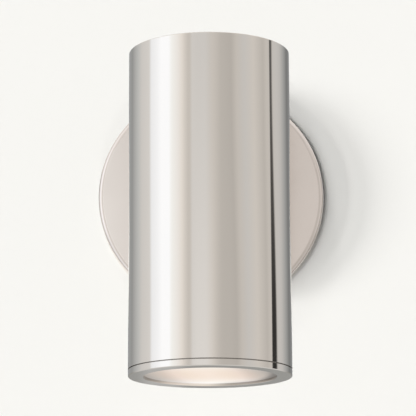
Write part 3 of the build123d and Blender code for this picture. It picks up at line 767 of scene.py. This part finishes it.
SKIRTING_SHARE = (*BACK_HALF, 0.25, 0.85)
SKIRTING_DARK = (0.355, 0.352, 0.332, 1)
SKIRTING_LIT = (0.575, 0.565, 0.55, 1)
SKIRTING_LIT_AT = -0.0335
SKIRTING_LIT_WIDTH = (0.013, 0.004)
FLOOR_FROM = (*BACK_HALF, -0.50, -0.28)
FLOOR_DEPTH = 0.27
FLOOR_GREY = 0.74
STOP_SCALE = 1.2 * max(level for _, level, _ in STUDIO)  # a ramp's stops stay below 1


def leaning(nodes, azimuth, z):
    """Everything leans a little to the right towards the floor, and more so at the right."""
    at_right = nodes.smooth(azimuth, *LEAN_RIGHT)
    at_right = nodes.math("SUBTRACT", at_right, nodes.smooth(azimuth, *LEAN_LESS))
    at_right = nodes.math("MULTIPLY", at_right, nodes.smooth(azimuth, *LEAN_ENDS))
    lean = nodes.math("ADD", nodes.smooth(azimuth, *LEAN_LEFT), at_right)
    return nodes.math("SUBTRACT", azimuth, nodes.math("MULTIPLY", lean, nodes.smooth(z, *SIGHT)))


def card_gain(nodes, azimuth, z):
    """The front card is brighter low down."""
    off = nodes.math("ABSOLUTE", nodes.math("SUBTRACT", azimuth, CARD_MIDDLE))
    front = nodes.smooth(off, *CARD_WIDTH)
    return nodes.math("ADD", nodes.math("MULTIPLY", front, nodes.smooth(z, *CARD_SLOPE)), 1.0)


def flag_gain(nodes, upright, z):
    """A dark flag at the right, wider towards the floor."""
    off = nodes.math("SUBTRACT", upright, FLAG_AT)
    half = nodes.smooth(z, *FLAG_HALF)
    from_left = nodes.math("ADD", nodes.math("ADD", off, half), nodes.smooth(z, *FLAG_MORE_LEFT))
    left_of = nodes.smooth(from_left, *FLAG_LEFT_EDGE)
    right_of = nodes.smooth(nodes.math("SUBTRACT", off, half), *FLAG_RIGHT_EDGE)
    beside = nodes.math("ADD", left_of, right_of, clamp=True)
    return nodes.smooth(beside, 0.0, 1.0, nodes.smooth(z, *FLAG_LEVEL), 1.0)


def above_and_below(nodes, seen, x, azimuth, z):
    """A bright ceiling, the lit wall behind, a grey skirting and a pale floor."""
    seen = nodes.mix(nodes.smooth(z, *CEILING), seen, grey(CEILING_GREY))
    painted_bore_shade = nodes.math("ABSOLUTE", azimuth)
    high_wall = nodes.math("MULTIPLY", nodes.smooth(painted_bore_shade, *WALL_FROM), nodes.smooth(z, *WALL_ABOVE))
    seen = nodes.mix(high_wall, seen, WALL_SEEN)
    off_lit = nodes.math("ABSOLUTE", nodes.math("SUBTRACT", x, SKIRTING_LIT_AT))
    skirting = nodes.mix(nodes.smooth(off_lit, *SKIRTING_LIT_WIDTH), SKIRTING_DARK, SKIRTING_LIT)
    skirted = nodes.math("MULTIPLY", nodes.smooth(z, *SKIRTING), nodes.smooth(painted_bore_shade, *SKIRTING_SHARE))
    seen = nodes.mix(skirted, seen, skirting)
    floor_from = nodes.smooth(painted_bore_shade, *FLOOR_FROM)
    floor_full = nodes.math("SUBTRACT", floor_from, FLOOR_DEPTH)
    return nodes.mix(nodes.smooth(z, floor_from, floor_full), seen, grey(FLOOR_GREY))


def studio_world():
    world = bpy.data.worlds.new("studio")
    world.use_nodes = True
    nodes = Nodes(world.node_tree)
    x, y, z = nodes.split(nodes.add("ShaderNodeTexCoord").outputs["Generated"])
    turned = nodes.math("ARCTAN2", x, nodes.math("MULTIPLY", y, -1.0))
    azimuth = nodes.math("MULTIPLY", turned, 180 / math.pi)
    upright = leaning(nodes, azimuth, z)
    share = nodes.math("ADD", nodes.math("DIVIDE", upright, 360.0), 0.5)
    stops = []
    for angle, level, tint in STUDIO:
        stops.append(((angle + 180) / 360, [level / STOP_SCALE * channel for channel in tint]))
    gain = nodes.math("MULTIPLY", card_gain(nodes, azimuth, z), flag_gain(nodes, upright, z))
    gain = nodes.math("MULTIPLY", gain, STOP_SCALE)
    around = nodes.ramp(share, stops)
    around = nodes.add("ShaderNodeVectorMath", operation="SCALE", Vector=around, Scale=gain).outputs[0]
    seen = above_and_below(nodes, around, x, azimuth, z)
    # only polished metal sees the studio: the rest gets the ambient level, and the camera sees white
    rays = nodes.add("ShaderNodeLightPath").outputs
    undiffused = nodes.math("LESS_THAN", rays["Diffuse Depth"], 0.5)
    mirrored = nodes.math("MULTIPLY", rays["Is Glossy Ray"], undiffused)
    seen = nodes.mix(mirrored, grey(AMBIENT), seen)
    seen = nodes.mix(rays["Is Camera Ray"], seen, WALL_WHITE)
    background = nodes.add("ShaderNodeBackground", Color=seen, Strength=1.0).outputs[0]
    nodes.add("ShaderNodeOutputWorld", Surface=background)
    bpy.context.scene.world = world


studio_world()


# ---- camera ----
CAMERA_PLACE = Vector((15.0 * MM, -1288.2 * MM, -284.2 * MM))
CAMERA_YAW = math.radians(-0.752)
CAMERA_PITCH = math.radians(12.253)
CAMERA_ROLL = math.radians(-0.195)
SENSOR_WIDTH = 36.0  # in mm, as Blender takes it
FOCAL_LENGTH = 194.92
CLIP_END = 50.0


def add_camera():
    camera = bpy.data.cameras.new("camera")
    camera.sensor_width = SENSOR_WIDTH
    camera.lens = FOCAL_LENGTH
    camera.clip_end = CLIP_END
    holder = bpy.data.objects.new("camera", camera)
    bpy.context.collection.objects.link(holder)
    level = math.cos(CAMERA_PITCH)
    ahead = Vector((math.sin(CAMERA_YAW) * level, math.cos(CAMERA_YAW) * level, math.sin(CAMERA_PITCH)))
    level_right = ahead.cross(Vector((0, 0, 1))).normalized()
    level_up = level_right.cross(ahead)
    right = level_right * math.cos(CAMERA_ROLL) + level_up * math.sin(CAMERA_ROLL)
    up = level_up * math.cos(CAMERA_ROLL) - level_right * math.sin(CAMERA_ROLL)
    turn = Matrix((right, up, -ahead)).transposed()
    holder.matrix_world = Matrix.Translation(CAMERA_PLACE) @ turn.to_4x4()
    bpy.context.scene.camera = holder


add_camera()

bpy.context.scene.view_settings.view_transform = "Standard"
